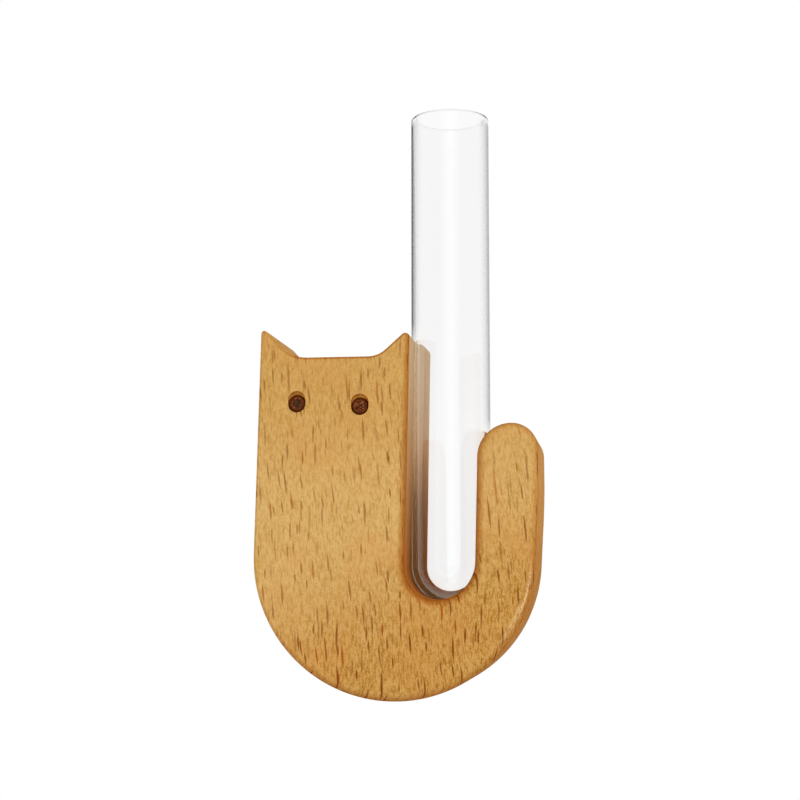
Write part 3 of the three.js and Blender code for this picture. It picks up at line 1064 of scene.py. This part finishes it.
# Studio: a pale floor that turns plain white further out, a white surround for the camera and reflections,
# and soft lamps. A lamp's glow is its radiance, where 1 is the white surround's.
studio = {
    "floorDrop": 70,  # below the lowest point of the wood
    "floorReach": 4000,
    "floorColour": (246, 246, 245),
    "floorLift": 0.78,  # share of plain white in the floor under the cat
    "floorPlain": (160, 360),  # distances over which that share rises to all
    "fill": 0.65,
    "lamps": [
        {"name": "keyLamp", "place": (-620, -760, 620), "wide": 500, "tall": 500, "glow": 4.9},
        {"name": "rightLamp", "place": (760, -420, 420), "wide": 500, "tall": 500, "glow": 4.7},
    ],
    "strips": {
        "place": (125, -1090, 250),
        "apart": 10,
        "widths": (300, 570, 840, 1110, 1380),
        "each": {"tall": 3000, "glow": 0.11},
    },
    "aim": (15, -14, 20),
    "card": {"corner": (-900, 420, -120), "far": (-30, 420, 260), "colour": (30, 30, 30)},
}
white = (1, 1, 1, 1)


# Gives the node tree of a material, world or lamp with nothing in it
def emptyTree(owner):
    owner.use_nodes = True
    owner.node_tree.nodes.clear()
    return owner.node_tree


# 1 for rays from the camera, a mirroring surface or glass
def seenRay(tree):
    path = addNode(tree, "LightPath")
    shown = calc("MAXIMUM", path["Is Camera Ray"], path["Is Glossy Ray"])
    return calc("MAXIMUM", shown, path["Is Transmission Ray"])


def makeWorld(fill):
    world = bpy.data.worlds.new("studio")
    tree = emptyTree(world)
    soft = addNode(tree, "Background", {"Color": white, "Strength": fill})[0]
    plain = addNode(tree, "Background", {"Color": white, "Strength": 1.0})[0]
    mixed = addNode(tree, "MixShader", {0: seenRay(tree), 1: soft, 2: plain})[0]
    addNode(tree, "OutputWorld", {"Surface": mixed})
    scene.world = world


def makeFloor(setup):
    reach = setup["floorReach"]
    height = blockLow.z / mm - setup["floorDrop"]
    corners = [[x * reach, y * reach, height] for x, y in ((-1, -1), (1, -1), (1, 1), (-1, 1))]
    floor = makePiece("floor", corners, [[0, 1, 2, 3]])
    material = bpy.data.materials.new("paleFloor")
    tree = emptyTree(material)
    matt = addNode(tree, "BsdfDiffuse", {"Color": colour(setup["floorColour"])})[0]
    plain = addNode(tree, "Emission", {"Color": white, "Strength": 1.0})[0]
    place = addNode(tree, "TexCoord")["Object"]
    apart = calcPlace("DISTANCE", place, (0, 0, height * mm))["Value"]
    near, far = (distance * mm for distance in setup["floorPlain"])
    lift = times(seenRay(tree), fade(apart, near, far, setup["floorLift"], 1.0))
    mixed = addNode(tree, "MixShader", {0: lift, 1: matt, 2: plain})[0]
    addNode(tree, "OutputMaterial", {"Surface": mixed})
    finish([floor], material)


# A rectangular lamp that either lights the scene or is only mirrored. Then it is dark to rays that no surface
# has mirrored, so that it doesn't show through the glass.
def makeLamp(lamp, aim, mirrored=False):
    data = bpy.data.lights.new(lamp["name"], "AREA")
    data.shape = "RECTANGLE"
    data.size, data.size_y = lamp["wide"] * mm, lamp["tall"] * mm
    data.energy = lamp["glow"] * math.pi * data.size * data.size_y
    if mirrored:
        tree = emptyTree(data)
        bounces = addNode(tree, "LightPath")["Glossy Depth"]
        glow = addNode(tree, "Emission", {"Strength": calc("MINIMUM", bounces, 1.0)})[0]
        addNode(tree, "OutputLight", {"Surface": glow})
    made = bpy.data.objects.new(lamp["name"], data)
    made.location = Vector(lamp["place"]) * mm
    towards = Vector(aim) - Vector(lamp["place"])
    made.rotation_euler = towards.to_track_quat("-Z", "Y").to_euler()
    made.visible_glossy = made.visible_transmission = mirrored
    made.visible_diffuse = not mirrored
    scene.collection.objects.link(made)


# Strips of light, each a little before the next wider one, for a band in the glass that is brightest in its
# middle
def makeStrips(strips, aim):
    x, y, z = strips["place"]
    for i, width in enumerate(strips["widths"]):
        place = (x, y - i * strips["apart"], z)
        lamp = {"name": "strip" + str(width), "place": place, "wide": width, **strips["each"]}
        makeLamp(lamp, (aim[0], aim[1], z), mirrored=True)


# A dark card far behind on the left, which only mirrored rays see, for a dark left edge in the glass
def makeCard(card):
    left, y, low = card["corner"]
    right, _, high = card["far"]
    corners = [[left, y, low], [right, y, low], [right, y, high], [left, y, high]]
    piece = makePiece("darkCard", corners, [[0, 1, 2, 3]])
    material = bpy.data.materials.new("darkCard")
    material.use_nodes = True
    inputs = material.node_tree.nodes["Principled BSDF"].inputs
    feed(inputs["Base Color"], colour(card["colour"]))
    feed(inputs["Roughness"], 1.0)
    finish([piece], material)
    for ray in ("camera", "diffuse", "transmission", "shadow"):
        setattr(piece, "visible_" + ray, False)


makeWorld(studio["fill"])
makeFloor(studio)
makeCard(studio["card"])
for lamp in studio["lamps"]:
    makeLamp(lamp, studio["aim"])
makeStrips(studio["strips"], studio["aim"])
scene.view_settings.view_transform = "Standard"
print("studio ready")
